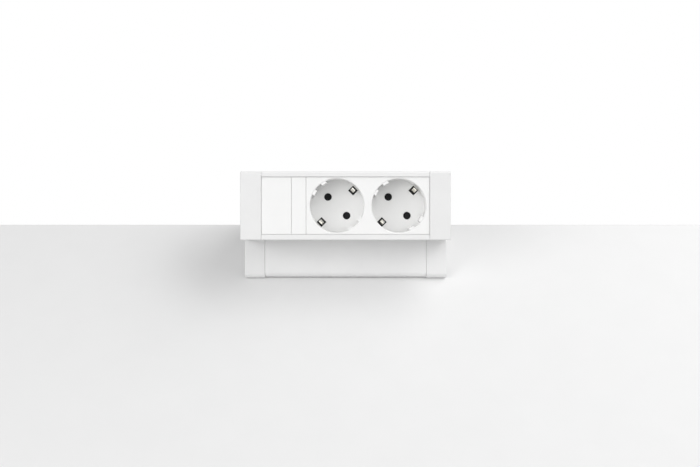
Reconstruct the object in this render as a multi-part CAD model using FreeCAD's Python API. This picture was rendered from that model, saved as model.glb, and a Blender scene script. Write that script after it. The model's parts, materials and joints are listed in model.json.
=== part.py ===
import FreeCAD, Part
import os
from math import cos, radians, sin, sqrt, tan, acos, pi

# Desk power strip: a double earthed socket in a stepped aluminium profile,
# clamped to the rear edge of a desk.
# Row frame in mm: origin at the centre of the seat, +X along the strip, +Y to the rear, +Z up.
# The face frame has its origin at the face's lower edge:
# x along the strip, y up the face, z out of the face.

# --- housing section ---
LEAN = 40.0            # the face leans back from vertical, degrees
HEAD_H = 48.1          # height of the face
SETBACK = 31.5         # how far the foot stands back under the face
FOOT_FACE_H = 31.3     # height of the foot's front, along its slope
BASE_DEPTH = 67.8      # front to back of the base
WALL = 2.0
PAD_PROUD = 0.5        # the rubber pads lift the profile this much
LIP_H = 3.85           # lips above and below the insert
PLATE_SINK = 0.8       # the inserts' faces lie this far behind the lips' face
RAIL_T = 1.2
RAIL_TO_CUP = 0.25
RIB_INSET = 4.8        # the blank insert's ribs end this far inside the rails
RIB_T = 1.6
RIB_DEPTH = 3.0
PORT_R = 3.3
PORT_INSET = 5.0
PORT_PILOT_R = 1.7
INNER_R = [0.4, 0.4, 0.6, 0.4, 0.6, 0.8]
CORNER_R = [0.6, 1.3, 2.0, 1.2, 3.5, 0.5]   # from the face's lower edge round to the notch

# --- lengths along X ---
CAP_T = 14.8
BLANK_W = 21.1
SPACER_W = 10.25
MODULE_W = 43.35
INSERT_GAP = 0.12
INSERT_CHAMFER = 0.3

# --- end caps ---
CAP_WALL = 2.6
CAP_END_WALL = 3.2
CAP_INNER_R = [0.5, 0.5, 0.8, 0.5, 0.8, 0.8]
POST_WALL = 1.0
POST_INSET = 0.6       # the screw posts stay this far inside the cap's outside
CAP_EDGE_R = 0.9
SEAM_CHAMFER = 0.4
END_RELIEF = 0.3       # shallow step round each end of the profile
CAP_SCREW_R = 1.95
CAP_SCREW_HEAD_R = 3.6
CAP_SCREW_HEAD_T = 2.4
CAP_SCREW_SUNK = 0.4   # the heads lie this far inside the end face
CAP_SCREW_DRIVE = 2.2  # across the flats
CAP_SCREW_BITE = 9.0
TAB_T = 1.8
TAB_OUT = 3.0
TAB_ROOT = 2.5
TAB_CLEAR = 3.0        # the tabs start this far behind the rails

# --- inserts ---
TONGUE_T = 1.4
SLIDE_GAP = 0.2
TONGUE_SIDE_GAP = 0.25

# --- sockets ---
RECESS_R = 19.0
RECESS_DEPTH = 17.5
CUP_WALL = 1.6
FLOOR_T = 2.4
MOUTH_BEVEL = 0.5
PIN_OFFSET = 9.5       # each pin hole from the socket's centre
PIN_HOLE_R = 2.7
PIN_ANGLE = 135.0      # direction of the first pin hole, from +x, in the face frame
LUG_DEPTH = 1.6        # guide lugs reach this far in from the recess wall
LUG_W = 13.0
LUG_SLOT_W = 5.3
LUG_DROP = 0.4
LUG_POCKET = 1.0       # the wall behind a lug's slot is cut back this much
LUG_POCKET_TOP = 1.2   # starting this far behind the insert's face
FUNNEL = 0.5           # widening at each pin hole's mouth
WINDOW_W = 5.0
WINDOW_CENTRE = 16.0
BOSS_R = 3.4
BOSS_PILOT_R = 1.1

# --- shutters ---
SHUTTER_T = 2.2
SHUTTER_R = 12.6
SHUTTER_GAP = 0.2
SHUTTER_NOTCH_R = 3.1
SHUTTER_TURN = 38.0
RUNNING_CLEARANCE = 0.05
SPRING_WIRE_R = 0.25
SPRING_LOOP_R = 5.6

# --- carrier and busbars ---
CARRIER_H = 30.0
CARRIER_D = 15.4
CARRIER_END = 1.2      # carrier's ends lie this far inside the socket plate's
COVER_T = 1.6
WEB_T = 1.4
BAR_T = 1.2
BAR_W = 5.0
BLADE_T = 0.6
BLADE_GAP = 4.2
BLADE_H = 7.5
TAB_LONG = 7.0
TAB_W = 4.8
ARM_W = 2.8
ARM_T = 0.8
ARM_BOW = 0.9          # how far a clip bows towards the socket's centre
STRIP_SHIFT = 1.0      # earth strips lie this far outside their clips' centres
FIT = 0.15             # general clearance round parts that drop into pockets
CARRIER_SCREW_R = 1.05
CARRIER_SCREW_HEAD_R = 2.6

# --- terminal block, cord entry ---
ENTRY_INSET = 17.025   # the cord comes in this far from the profile's left end
BLOCK_SHIFT = 0.5      # the terminal block's middle lies this far left of the cord
BLOCK_L = 27.0
BLOCK_W = 12.0
POLE_BORE_R = 1.9
POLE_BORE_Z = 5.0      # height of the poles' bores above the base floor
POLE_SCREW_R = 1.5
BLOCK_H = 13.5
BLOCK_TO_GRIP = 21.0   # middle of the block to middle of the cord grip
POLES = 3
EARTH_POLE, LIVE_POLE, NEUTRAL_POLE = range(POLES)
RING_R = 3.4
RING_T = 1.0
LEAD_R = 1.2
LEAD_REACH = 3.5       # the first lead stands out this far behind the terminal block
LEAD_PITCH = 2.8       # and each further lead this much more
LEAD_DROP = [7.5, 7.5, 11.0]   # earth, live and neutral turn towards their tabs this far below them
SLEEVE_WALL = 0.7
SLEEVE_L = 4.0
LEAD_BITE = 1.0        # lead inside its pole or sleeve
LEAD_STRAIGHT = 2.5
CORD_R = 4.1
CORD_Z = 17.5
BUSH_WALL = 1.9
BUSH_BARB = 0.8
BUSH_FLANGE = 2.0
BUSH_FLANGE_T = 2.0
BUSH_REACH = 5.0
GRIP_TO_REAR = 15.9    # middle of the cord grip to the outside of the rear wall
GRIP_L = 8.5
GRIP_SCREW_OUT = 4.4   # its screws lie this far outside the cord
GRIP_END = 3.5
GRIP_ROOF = 1.8
GRIP_NIP = 1.0         # gap between the two halves of the cord grip
SMALL_SCREW_R = 1.45
SMALL_HEAD_R = 2.8

# --- desk clamp ---
DESK_T = 25.0          # desk thickness in the stored pose
CLAMP_TRAVEL = 10.0
BRACKET_T = 3.0
BRACKET_W = 44.0
BRACKET_TOP = 37.0
BRACKET_BEND_R = 3.0
ARM_LENGTH = 42.0
SCREW_Y = 8.0
ROD_R = 4.0
NUT_WALL = 2.5
NUT_H = 6.5
PAD_R = 14.0
PAD_T = 2.5
FACING_T = 2.0
PAD_BOSS_WALL = 2.2
PAD_BOSS_H = 5.0
COLLAR_RIM = 1.0
PAD_TO_ARM = 1.0       # left between pad and arm, and between nut and knob, at full travel
EDGE_PAD_T = 1.0
EDGE_PAD_H = 18.0
EDGE_PAD_DROP = 2.0
COLLAR_H = 2.4
COLLAR_GAP = 0.3
KNOB_R = 16.0
KNOB_H = 13.0
KNOB_LOBES = 6
BOLT_R = 2.5
BOLT_HEAD_R = 4.75
BOLT_HEAD_H = 2.8
BOLT_EDGE = 10.0       # bolts to the bracket's sides and top
NUT_BAR_T = 4.0
NUT_BAR_H = 11.0
THREAD_CLEARANCE = 0.05
HOLE_CLEARANCE = 0.25
SEAT_PAD_W = 8.0
SEAT_PAD_T = 1.3
SEAT_PAD_END = 1.5     # outer seat pads start this far inside the profile's ends
SEAT_PAD_FRONT = 11.9  # front of the seat pads behind the toe
SEAT_PAD_BACK = 0.75   # and their back in front of the cord grip
SEAT_PAD_GAP = 0.1
FOOT_CORNER_R = 2.3    # rounding of the end caps' bottom corners

SINK = 0.2             # how far fused pieces run into each other
SKIM = 0.1             # a cone's wide end passes the face it opens by this much
OVER = 1.0             # how far a cutter runs past the face it cuts

V = FreeCAD.Vector
X_AXIS = V(1, 0, 0)
Y_AXIS = V(0, 1, 0)
Z_AXIS = V(0, 0, 1)

# --- derived sizes ---
SIN = sin(radians(LEAN))
COS = cos(radians(LEAN))
PROFILE_L = BLANK_W + SPACER_W + 2 * MODULE_W
HALF_L = PROFILE_L / 2
REAR_Y = BASE_DEPTH / 2
CORD_X = -HALF_L + ENTRY_INSET
BLOCK_X = CORD_X - BLOCK_SHIFT
GRIP_Y = REAR_Y - GRIP_TO_REAR
BLOCK_Y = GRIP_Y - BLOCK_TO_GRIP
BUSH_BODY_R = CORD_R + BUSH_WALL
BUSH_BARB_R = BUSH_BODY_R + BUSH_BARB
BUSH_FLANGE_R = BUSH_BODY_R + BUSH_FLANGE
GRIP_SCREW_X = CORD_R + GRIP_SCREW_OUT
GRIP_W = 2 * (GRIP_SCREW_X + GRIP_END)
SEAT_PAD_Y = [-REAR_Y + SEAT_PAD_FRONT, GRIP_Y - GRIP_L / 2 - SEAT_PAD_BACK]
BOLT_X = BRACKET_W / 2 - BOLT_EDGE
BOLT_Z = BRACKET_TOP - BOLT_EDGE
NUT_FLATS = 2 * (ROD_R + NUT_WALL)
COLLAR_R = ROD_R + COLLAR_RIM
PAD_BOSS_R = COLLAR_R + PAD_BOSS_WALL
FACE_MID = HEAD_H / 2
TONGUE_FRONT = WALL + SLIDE_GAP
PLATE_BACK = TONGUE_FRONT + TONGUE_T
RAIL_FRONT = PLATE_BACK + SLIDE_GAP
FLOOR_FRONT = PLATE_SINK + RECESS_DEPTH
FLOOR_BACK = FLOOR_FRONT + FLOOR_T
SHUTTER_FRONT = FLOOR_BACK + SHUTTER_GAP
SHUTTER_BACK = SHUTTER_FRONT + SHUTTER_T
SHUTTER_POCKET = SHUTTER_BACK + SHUTTER_GAP
SPRING_POCKET = SHUTTER_POCKET + 4 * SPRING_WIRE_R
WEB_BACK = SPRING_POCKET + WEB_T
RAIL_H = FACE_MID - RECESS_R - CUP_WALL - RAIL_TO_CUP - WALL
CARRIER_FRONT = FLOOR_BACK
CARRIER_BACK = CARRIER_FRONT + CARRIER_D
BAR_BACK = CARRIER_BACK - FIT
BAR_FRONT = BAR_BACK - BAR_T
COVER_BACK = CARRIER_BACK + COVER_T
CUP_R = RECESS_R + CUP_WALL
PLATE_X0 = -HALF_L + BLANK_W + SPACER_W
SOCKET_X = [PLATE_X0 + MODULE_W / 2, PLATE_X0 + 1.5 * MODULE_W]
CARRIER_X0 = PLATE_X0 + CARRIER_END
CARRIER_X1 = HALF_L - CARRIER_END
CARRIER_Y0 = FACE_MID - CARRIER_H / 2
PIN_D = PIN_OFFSET * sqrt(0.5)
WINDOW_D = WINDOW_CENTRE * sqrt(0.5)
CUP_TOP = -DESK_T - FACING_T
CUP_BOTTOM = CUP_TOP - PAD_T
PAD_BOTTOM = CUP_BOTTOM - PAD_BOSS_H
ARM_TOP = PAD_BOTTOM - CLAMP_TRAVEL - PAD_TO_ARM
ARM_BOTTOM = ARM_TOP - BRACKET_T
KNOB_TOP = ARM_BOTTOM - NUT_H - CLAMP_TRAVEL - PAD_TO_ARM
KNOB_BOTTOM = KNOB_TOP - KNOB_H
BASE_Z = PAD_PROUD + WALL


def section_points(base_z):
    """Corners of the section (y, z): face bottom, face top, roof end, rear foot, toe, notch corner."""
    toe = (-BASE_DEPTH / 2, PAD_PROUD)
    notch = (toe[0] + FOOT_FACE_H * SIN, toe[1] + FOOT_FACE_H * COS)
    face_low = (notch[0] - SETBACK * COS, notch[1] + SETBACK * SIN)
    face_top = (face_low[0] + HEAD_H * SIN, face_low[1] + HEAD_H * COS)
    roof = (REAR_Y - face_top[0]) / COS
    roof_end = (REAR_Y, face_top[1] - roof * SIN)
    drop = (PAD_PROUD - base_z) / COS
    low_toe = (toe[0] - drop * SIN, base_z)
    return [face_low, face_top, roof_end, (REAR_Y, base_z), low_toe, notch]


def inset(points, distance):
    """The same polygon (clockwise seen from +X's far side) with every side moved inwards."""
    count = len(points)
    lines = []
    for i in range(count):
        a = points[i]
        b = points[(i + 1) % count]
        length = sqrt((b[0] - a[0]) ** 2 + (b[1] - a[1]) ** 2)
        along = ((b[0] - a[0]) / length, (b[1] - a[1]) / length)
        start = (a[0] + along[1] * distance, a[1] - along[0] * distance)
        lines.append((start, along))
    moved = []
    for i in range(count):
        (p, d), (q, e) = lines[i - 1], lines[i]
        cross = d[0] * e[1] - d[1] * e[0]
        t = ((q[0] - p[0]) * e[1] - (q[1] - p[1]) * e[0]) / cross
        moved.append((p[0] + t * d[0], p[1] + t * d[1]))
    return moved


def rounded_wire(corners, radii):
    """Closed flat wire through the corners, each rounded by an arc of its own radius."""
    edges = []
    ends = []
    for i, corner in enumerate(corners):
        back = (corners[i - 1] - corner).normalize()
        ahead = (corners[(i + 1) % len(corners)] - corner).normalize()
        half = acos(back.dot(ahead)) / 2
        cut = radii[i] / tan(half)
        middle = (back + ahead).normalize()
        apex = corner + middle * (radii[i] / sin(half) - radii[i])
        ends.append((corner + back * cut, corner + ahead * cut))
        edges.append(Part.Arc(ends[-1][0], apex, ends[-1][1]).toShape())
    for i in range(len(corners)):
        start = ends[i][1]
        stop = ends[(i + 1) % len(corners)][0]
        edges.append(Part.makeLine(start, stop))
    return Part.Wire(Part.__sortEdges__(edges))


def section_solid(points, radii, x0, x1):
    """The section (y, z) with rounded corners, from x0 to x1."""
    corners = [V(x0, y, z) for y, z in points]
    return Part.Face(rounded_wire(corners, radii)).extrude(V(x1 - x0, 0, 0))


def box(x0, x1, y0, y1, z0, z1):
    return Part.makeBox(x1 - x0, y1 - y0, z1 - z0, V(x0, y0, z0))


def rod(centre, axis, radius, length):
    return Part.makeCylinder(radius, length, centre, axis)


def fuse(shapes):
    whole = shapes[0]
    if len(shapes) > 1:
        whole = shapes[0].fuse(shapes[1:])
    return whole.removeSplitter()


def mirror_x(shape):
    return shape.mirror(V(0, 0, 0), X_AXIS)


SECTION = section_points(PAD_PROUD)
CAP_SECTION = section_points(0.0)
FACE = FreeCAD.Placement(V(0, SECTION[0][0], SECTION[0][1]), FreeCAD.Rotation(X_AXIS, 90 - LEAN))
NORMAL = FACE.Rotation.multVec(Z_AXIS)


def on_face(shape):
    """Moves a shape drawn in the face frame onto the leaning face."""
    placed = shape.copy()
    placed.Placement = FACE.multiply(placed.Placement)
    return placed


def face_point(x, up, behind):
    return FACE.multVec(V(x, up, -behind))


def round_socket(shape, centre_x, angle):
    """Places a shape drawn about the face frame's origin at a socket, turned by angle."""
    placed = shape.copy()
    placed.Placement = FreeCAD.Placement(V(centre_x, FACE_MID, 0), FreeCAD.Rotation(Z_AXIS, angle))
    return placed


def save(name, shape):
    shape.exportStep(os.path.join("parts", name + ".step"))


def port_centres():
    """Screw ports (y, z): roof corner, rear foot corner, toe, and under the face near the notch."""
    ring = inset(SECTION, PORT_INSET)
    near_notch = face_point(0, PORT_INSET, SETBACK - PORT_INSET + 1.0)
    return [ring[2], ring[3], ring[4], (near_notch.y, near_notch.z)]


PORTS = port_centres()


def housing_profile():
    outer = section_solid(SECTION, CORNER_R, -HALF_L, HALF_L)
    inner = section_solid(inset(SECTION, WALL), INNER_R, -HALF_L - OVER, HALF_L + OVER)
    mouth = on_face(box(-HALF_L - OVER, HALF_L + OVER, LIP_H, HEAD_H - LIP_H, -WALL - OVER, OVER))
    core = section_solid(inset(SECTION, END_RELIEF), CORNER_R, -HALF_L - OVER, HALF_L + OVER)
    belt = box(-HALF_L + END_RELIEF, HALF_L - END_RELIEF, -BASE_DEPTH, BASE_DEPTH, -OVER, 3 * HEAD_H)
    shell = outer.common(fuse([core, belt])).cut([inner, mouth])
    low_rail = box(-HALF_L, HALF_L, WALL - SINK, WALL + RAIL_H, -RAIL_FRONT - RAIL_T, -RAIL_FRONT)
    high_rail = box(-HALF_L, HALF_L, HEAD_H - WALL - RAIL_H, HEAD_H - WALL + SINK,
                    -RAIL_FRONT - RAIL_T, -RAIL_FRONT)
    ports = [rod(V(-HALF_L, y, z), X_AXIS, PORT_R, PROFILE_L) for y, z in PORTS]
    shell = fuse([shell, on_face(low_rail), on_face(high_rail)] + ports)
    cuts = [rod(V(-HALF_L - OVER, y, z), X_AXIS, PORT_PILOT_R, PROFILE_L + 2 * OVER) for y, z in PORTS]
    cuts += [seat_pad(x, SEAT_PAD_GAP) for x in seat_pad_x()]
    inside = REAR_Y - WALL - OVER
    cuts.append(rod(V(CORD_X, inside, CORD_Z), Y_AXIS, BUSH_BODY_R, WALL + 2 * OVER))
    for x in (-BOLT_X, BOLT_X):
        cuts.append(rod(V(x, inside, BOLT_Z), Y_AXIS, BOLT_R + HOLE_CLEARANCE, WALL + 2 * OVER))
    for x, y in floor_holes():
        cuts.append(rod(V(x, y, 0), Z_AXIS, SMALL_SCREW_R + THREAD_CLEARANCE, BASE_Z + OVER))
    return shell.cut(cuts)


def floor_holes():
    """Places on the base floor (x, y) where a screw from above taps in: block, cord grip, earth bond."""
    places = [(x, BLOCK_Y) for x in block_fixing_x()]
    places += [(CORD_X + side * GRIP_SCREW_X, GRIP_Y) for side in (-1, 1)]
    places.append(bond_place())
    return places


def block_fixing_x():
    pitch = BLOCK_L / POLES
    return [BLOCK_X - pitch / 2, BLOCK_X + pitch / 2]


def bond_place():
    return (BLOCK_X + BLOCK_L / 2 + 7.0, BLOCK_Y)


def end_cap(right):
    """Cap drawn for the right end; the left one is its mirror image."""
    x0 = HALF_L
    x1 = HALF_L + CAP_T
    body = section_solid(CAP_SECTION, CORNER_R, x0, x1)
    rim = [e for e in body.Edges if min(v.X for v in e.Vertexes) > x1 - 0.01]
    body = body.makeFillet(CAP_EDGE_R, rim)
    seam = [e for e in body.Edges if max(v.X for v in e.Vertexes) < x0 + 0.01]
    body = body.makeChamfer(SEAM_CHAMFER, seam)
    end = x1 - CAP_END_WALL
    hollow = section_solid(inset(CAP_SECTION, CAP_WALL), CAP_INNER_R, x0 - OVER, end)
    posts = [rod(V(x0, y, z), X_AXIS, PORT_R + POST_WALL, end - x0 + SINK) for y, z in PORTS]
    outer = section_solid(inset(CAP_SECTION, POST_INSET), INNER_R, x0, x1 - POST_INSET)
    posts = [post.common(outer) for post in posts]
    body = fuse([body.cut(hollow)] + posts + [on_face(tab) for tab in locating_tabs(x0)])
    bores = []
    for y, z in PORTS:
        bores.append(rod(V(x0 - OVER, y, z), X_AXIS, CAP_SCREW_R + HOLE_CLEARANCE, CAP_T + 2 * OVER))
        bores.append(rod(V(x1 - CAP_SCREW_HEAD_T - CAP_SCREW_SUNK, y, z), X_AXIS,
                         CAP_SCREW_HEAD_R + HOLE_CLEARANCE, CAP_SCREW_HEAD_T + OVER))
    body = body.cut(bores + [foot_corner(x1)])
    if right:
        return body
    return mirror_x(body)


def foot_corner(x1):
    """What is cut away to round the cap's bottom corner, seen from the front."""
    r = FOOT_CORNER_R
    block = box(x1 - r, x1 + OVER, -BASE_DEPTH, BASE_DEPTH, -OVER, r)
    return block.cut(rod(V(x1 - r, -BASE_DEPTH, r), Y_AXIS, r, 2 * BASE_DEPTH))


def locating_tabs(x0):
    """Two tabs in the face frame that reach into the profile along its roof and its underside."""
    inner = WALL + FIT
    front = -RAIL_FRONT - RAIL_T - TAB_CLEAR
    back = -SETBACK + PORT_R + PORT_INSET + OVER
    roof = box(x0 - TAB_OUT, x0 + TAB_ROOT, HEAD_H - inner - TAB_T, HEAD_H - inner, back, front)
    under = box(x0 - TAB_OUT, x0 + TAB_ROOT, inner, inner + TAB_T, back, front)
    return [roof, under]


def cap_screws():
    """Four countersunk-seat pan screws at each end, each a separate solid."""
    solids = []
    head_x = HALF_L + CAP_T - CAP_SCREW_HEAD_T - CAP_SCREW_SUNK
    length = head_x - HALF_L + CAP_SCREW_BITE
    for y, z in PORTS:
        shank = rod(V(HALF_L - CAP_SCREW_BITE, y, z), X_AXIS, PORT_PILOT_R - THREAD_CLEARANCE, length)
        head = rod(V(head_x, y, z), X_AXIS, CAP_SCREW_HEAD_R, CAP_SCREW_HEAD_T)
        head = head.makeFillet(CAP_SCREW_HEAD_T / 4, [e for e in head.Edges if e.BoundBox.XMin > head_x + 1])
        drive = hex_prism(V(head_x + CAP_SCREW_HEAD_T / 3, y, z), X_AXIS, CAP_SCREW_DRIVE, CAP_SCREW_HEAD_T)
        screw = fuse([shank, head]).cut(drive)
        solids.append(screw)
        solids.append(mirror_x(screw))
    return Part.makeCompound(solids)


def hex_prism(centre, axis, across_flats, length):
    """Hexagonal prism from centre along a row axis."""
    radius = across_flats / sqrt(3)
    spots = []
    for i in range(7):
        a = radians(60 * i)
        if axis.x:
            spots.append(centre + V(0, radius * cos(a), radius * sin(a)))
        elif axis.y:
            spots.append(centre + V(radius * cos(a), 0, radius * sin(a)))
        else:
            spots.append(centre + V(radius * cos(a), radius * sin(a), 0))
    return Part.Face(Part.makePolygon(spots)).extrude(axis * length)


def insert_plate(x0, x1):
    """One insert, in the face frame: a visible face between the lips and tongues behind them."""
    side = LIP_H + SLIDE_GAP
    a = x0 + INSERT_GAP / 2
    b = x1 - INSERT_GAP / 2
    front = box(a, b, side, HEAD_H - side, -PLATE_BACK, -PLATE_SINK)
    ends = [e for e in front.Edges
            if abs(e.BoundBox.ZMax + PLATE_SINK) < 0.01 and e.BoundBox.YLength > 5]
    front = front.makeChamfer(INSERT_CHAMFER, ends)
    edge = WALL + TONGUE_SIDE_GAP
    tongue = box(a, b, edge, HEAD_H - edge, -PLATE_BACK, -TONGUE_FRONT)
    return fuse([front, tongue])


def blank_plate():
    x0 = -HALF_L
    plate = insert_plate(x0, x0 + BLANK_W)
    low = WALL + RAIL_H + RIB_INSET
    middles = [x0 + BLANK_W * share for share in (0.3, 0.7)]
    ribs = [box(x - RIB_T / 2, x + RIB_T / 2, low, HEAD_H - low, -PLATE_BACK - RIB_DEPTH, -PLATE_BACK + SINK)
            for x in middles]
    return on_face(fuse([plate] + ribs))


def spacer_plate():
    x0 = -HALF_L + BLANK_W
    return on_face(insert_plate(x0, x0 + SPACER_W))


def guide_lugs():
    """The two split guide lugs of a recess, about the origin, on the +x and -x sides."""
    height = RECESS_DEPTH - LUG_DROP + SINK
    low = -FLOOR_FRONT - SINK
    ring = rod(V(0, 0, low), Z_AXIS, RECESS_R + SINK, height)
    ring = ring.cut(rod(V(0, 0, low - OVER), Z_AXIS, RECESS_R - LUG_DEPTH, height + 2 * OVER))
    out = RECESS_R + OVER
    band = box(-out, out, -LUG_W / 2, LUG_W / 2, low - OVER, low + height + OVER)
    slot = box(-out, out, -LUG_SLOT_W / 2, LUG_SLOT_W / 2, low - OVER, low + height + OVER)
    return [s for s in ring.common(band).cut(slot).Solids]


def double_socket_plate():
    plate = insert_plate(PLATE_X0, HALF_L)
    adds = []
    cuts = []
    late = []
    for x in SOCKET_X:
        adds.append(rod(V(x, FACE_MID, -FLOOR_BACK), Z_AXIS, CUP_R, FLOOR_BACK - PLATE_BACK + SINK))
        cuts.append(rod(V(x, FACE_MID, -FLOOR_FRONT), Z_AXIS, RECESS_R, FLOOR_FRONT + OVER))
        cuts.append(Part.makeCone(RECESS_R, RECESS_R + MOUTH_BEVEL + SKIM, MOUTH_BEVEL + SKIM,
                                  V(x, FACE_MID, -PLATE_SINK - MOUTH_BEVEL), Z_AXIS))
        late += [round_socket(lug, x, PIN_ANGLE) for lug in guide_lugs()]
        late.append(rod(V(x, FACE_MID, -SHUTTER_POCKET + RUNNING_CLEARANCE), Z_AXIS, BOSS_R,
                        SHUTTER_POCKET - FLOOR_BACK + SINK))
    plate = fuse(fuse([plate] + adds).cut(cuts).Solids + late)
    holes = []
    for x in SOCKET_X:
        for turn in (0, 180):
            pin = rod(V(PIN_OFFSET, 0, -FLOOR_BACK - OVER), Z_AXIS, PIN_HOLE_R, FLOOR_T + 2 * OVER)
            funnel = Part.makeCone(PIN_HOLE_R, PIN_HOLE_R + FUNNEL, FUNNEL,
                                   V(PIN_OFFSET, 0, -FLOOR_FRONT - FUNNEL + SKIM), Z_AXIS)
            holes.append(round_socket(pin, x, PIN_ANGLE + turn))
            holes.append(round_socket(funnel, x, PIN_ANGLE + turn))
            holes.append(round_socket(clip_window(-FLOOR_BACK - OVER, -FLOOR_FRONT + OVER), x,
                                      PIN_ANGLE + turn - 90))
            holes.append(round_socket(lug_pocket(), x, PIN_ANGLE + turn))
        holes.append(rod(V(x, FACE_MID, -SHUTTER_POCKET - OVER), Z_AXIS, BOSS_PILOT_R, FLOOR_T + OVER))
    return on_face(plate.cut(holes))


def lug_pocket():
    """What is cut from the recess wall behind a lug's slot."""
    return box(RECESS_R - LUG_DEPTH / 2, RECESS_R + LUG_POCKET, -LUG_SLOT_W / 2, LUG_SLOT_W / 2,
               -FLOOR_FRONT, -PLATE_SINK - LUG_POCKET_TOP)


def clip_window(z0, z1):
    return box(WINDOW_CENTRE - WINDOW_W / 2, WINDOW_CENTRE + WINDOW_W / 2,
               -WINDOW_W / 2, WINDOW_W / 2, z0, z1)


def shutter(x):
    """Rotary shutter, closed: its notches lie one turn short of the pin holes."""
    bore = BOSS_R + RUNNING_CLEARANCE
    disc = rod(V(0, 0, -SHUTTER_BACK), Z_AXIS, SHUTTER_R, SHUTTER_T)
    cuts = [rod(V(0, 0, -SHUTTER_BACK - 1), Z_AXIS, bore, SHUTTER_T + 2)]
    for turn in (0, 180):
        notch = rod(V(PIN_OFFSET, 0, -SHUTTER_BACK - 1), Z_AXIS, SHUTTER_NOTCH_R, SHUTTER_T + 2)
        mouth = box(PIN_OFFSET, SHUTTER_R + 2, -SHUTTER_NOTCH_R, SHUTTER_NOTCH_R,
                    -SHUTTER_BACK - 1, -SHUTTER_FRONT + 1)
        notch = fuse([notch, mouth])
        notch.Placement = FreeCAD.Placement(V(0, 0, 0), FreeCAD.Rotation(Z_AXIS, turn))
        cuts.append(notch)
    disc = disc.cut(cuts)
    return on_face(round_socket(disc, x, PIN_ANGLE - SHUTTER_TURN))


def hairpin_spring(x):
    """Hairpin wire behind a shutter: most of a loop round the boss with two short legs."""
    depth = -(SHUTTER_POCKET + 2 * SPRING_WIRE_R)
    start = radians(20)
    stop = radians(320)
    r = SPRING_LOOP_R
    leg = 4.5
    a = V(r * cos(start), r * sin(start), depth)
    b = V(-r, 0, depth)
    c = V(r * cos(stop), r * sin(stop), depth)
    tangent_a = V(sin(start), -cos(start), 0)
    tangent_c = V(-sin(stop), cos(stop), 0)
    path = Part.Wire([Part.makeLine(a + tangent_a * leg * 0.3, a),
                      Part.Arc(a, b, c).toShape(),
                      Part.makeLine(c, c + tangent_c * leg * 0.3)])
    ring = Part.Wire([Part.makeCircle(SPRING_WIRE_R, a + tangent_a * leg * 0.3, tangent_a)])
    wire = path.makePipeShell([ring], True, True)
    return on_face(round_socket(wire, x, PIN_ANGLE))


def contact_carrier():
    y0 = CARRIER_Y0
    y1 = CARRIER_Y0 + CARRIER_H
    body = box(CARRIER_X0, CARRIER_X1, y0, y1, -CARRIER_BACK, -CARRIER_FRONT)
    upright = [e for e in body.Edges if e.BoundBox.ZLength > 5]
    body = body.makeFillet(2.0, upright)
    cuts = []
    for x in SOCKET_X:
        cuts.append(rod(V(x, FACE_MID, -SHUTTER_POCKET), Z_AXIS, SHUTTER_R + 0.35,
                        SHUTTER_POCKET - CARRIER_FRONT + 1))
        cuts.append(rod(V(x, FACE_MID, -SPRING_POCKET), Z_AXIS, SPRING_LOOP_R + 4 * SPRING_WIRE_R,
                        SPRING_POCKET - SHUTTER_POCKET + 0.1))
        cuts.append(rod(V(x, FACE_MID, -CARRIER_BACK - 1), Z_AXIS,
                        CARRIER_SCREW_R + HOLE_CLEARANCE, CARRIER_D + 2))
        for turn in (0, 180):
            hole = rod(V(PIN_OFFSET, 0, -CARRIER_BACK), Z_AXIS, PIN_HOLE_R + 0.2, CARRIER_D + 1)
            cuts.append(round_socket(hole, x, PIN_ANGLE + turn))
            side = 1 if turn == 0 else -1
            px = x - side * PIN_D
            py = FACE_MID + side * PIN_D
            half_x = BAR_W / 2 + 0.5
            half_y = BLADE_GAP / 2 + BLADE_T + 0.3
            cuts.append(box(px - half_x, px + half_x, py - half_y, py + half_y,
                            -CARRIER_BACK - 1, -WEB_BACK))
            slot = box(WINDOW_CENTRE - ARM_T - 0.3, WINDOW_CENTRE + ARM_T + 0.3,
                       -ARM_W / 2 - 0.4, ARM_W / 2 + 0.4, -CARRIER_BACK - 1, -CARRIER_FRONT + 1)
            cuts.append(round_socket(slot, x, PIN_ANGLE + turn - 90))
    for start, stop, y in bar_runs():
        cuts.append(box(start - FIT, stop + FIT, y - BAR_W / 2 - FIT, y + BAR_W / 2 + FIT,
                        -CARRIER_BACK - 1, -BAR_FRONT))
    for x0_strip, x1_strip, y in earth_strips():
        cuts.append(box(x0_strip - FIT - 1, x1_strip + FIT, y - ARM_W / 2 - FIT, y + ARM_W / 2 + FIT,
                        -CARRIER_BACK - 1, -BAR_FRONT))
    return on_face(body.cut(cuts).removeSplitter())


def bar_runs():
    """Live then neutral busbar: start x, end x and height on the face."""
    start = CARRIER_X0 + 1.5
    live = (start, SOCKET_X[1] - PIN_D + BAR_W / 2 + 0.3, FACE_MID + PIN_D)
    neutral = (start, SOCKET_X[1] + PIN_D + BAR_W / 2 + 0.3, FACE_MID - PIN_D)
    return [live, neutral]


def busbar(run, side):
    """Flat bar with a sprung pair of blades behind each pin hole and a tab for its lead."""
    start, stop, y = run
    solids = [box(start, stop, y - BAR_W / 2, y + BAR_W / 2, -BAR_BACK, -BAR_FRONT)]
    for x in SOCKET_X:
        px = x - side * PIN_D
        foot = BLADE_GAP / 2 + BLADE_T
        solids.append(box(px - BAR_W / 2, px + BAR_W / 2, y - foot, y + foot, -BAR_BACK, -BAR_FRONT))
        for up in (-1, 1):
            inner = up * BLADE_GAP / 2
            outer = up * foot
            solids.append(box(px - BAR_W / 2, px + BAR_W / 2, y + min(inner, outer),
                              y + max(inner, outer), -BAR_BACK, -BAR_FRONT + BLADE_H))
    solids.append(lead_tab(start, y))
    return on_face(fuse(solids))


def lead_tab(start, y):
    tab_x = start + 1.5
    return box(tab_x, tab_x + BAR_T, y - TAB_W / 2, y + TAB_W / 2, -BAR_BACK - TAB_LONG, -BAR_FRONT)


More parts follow.
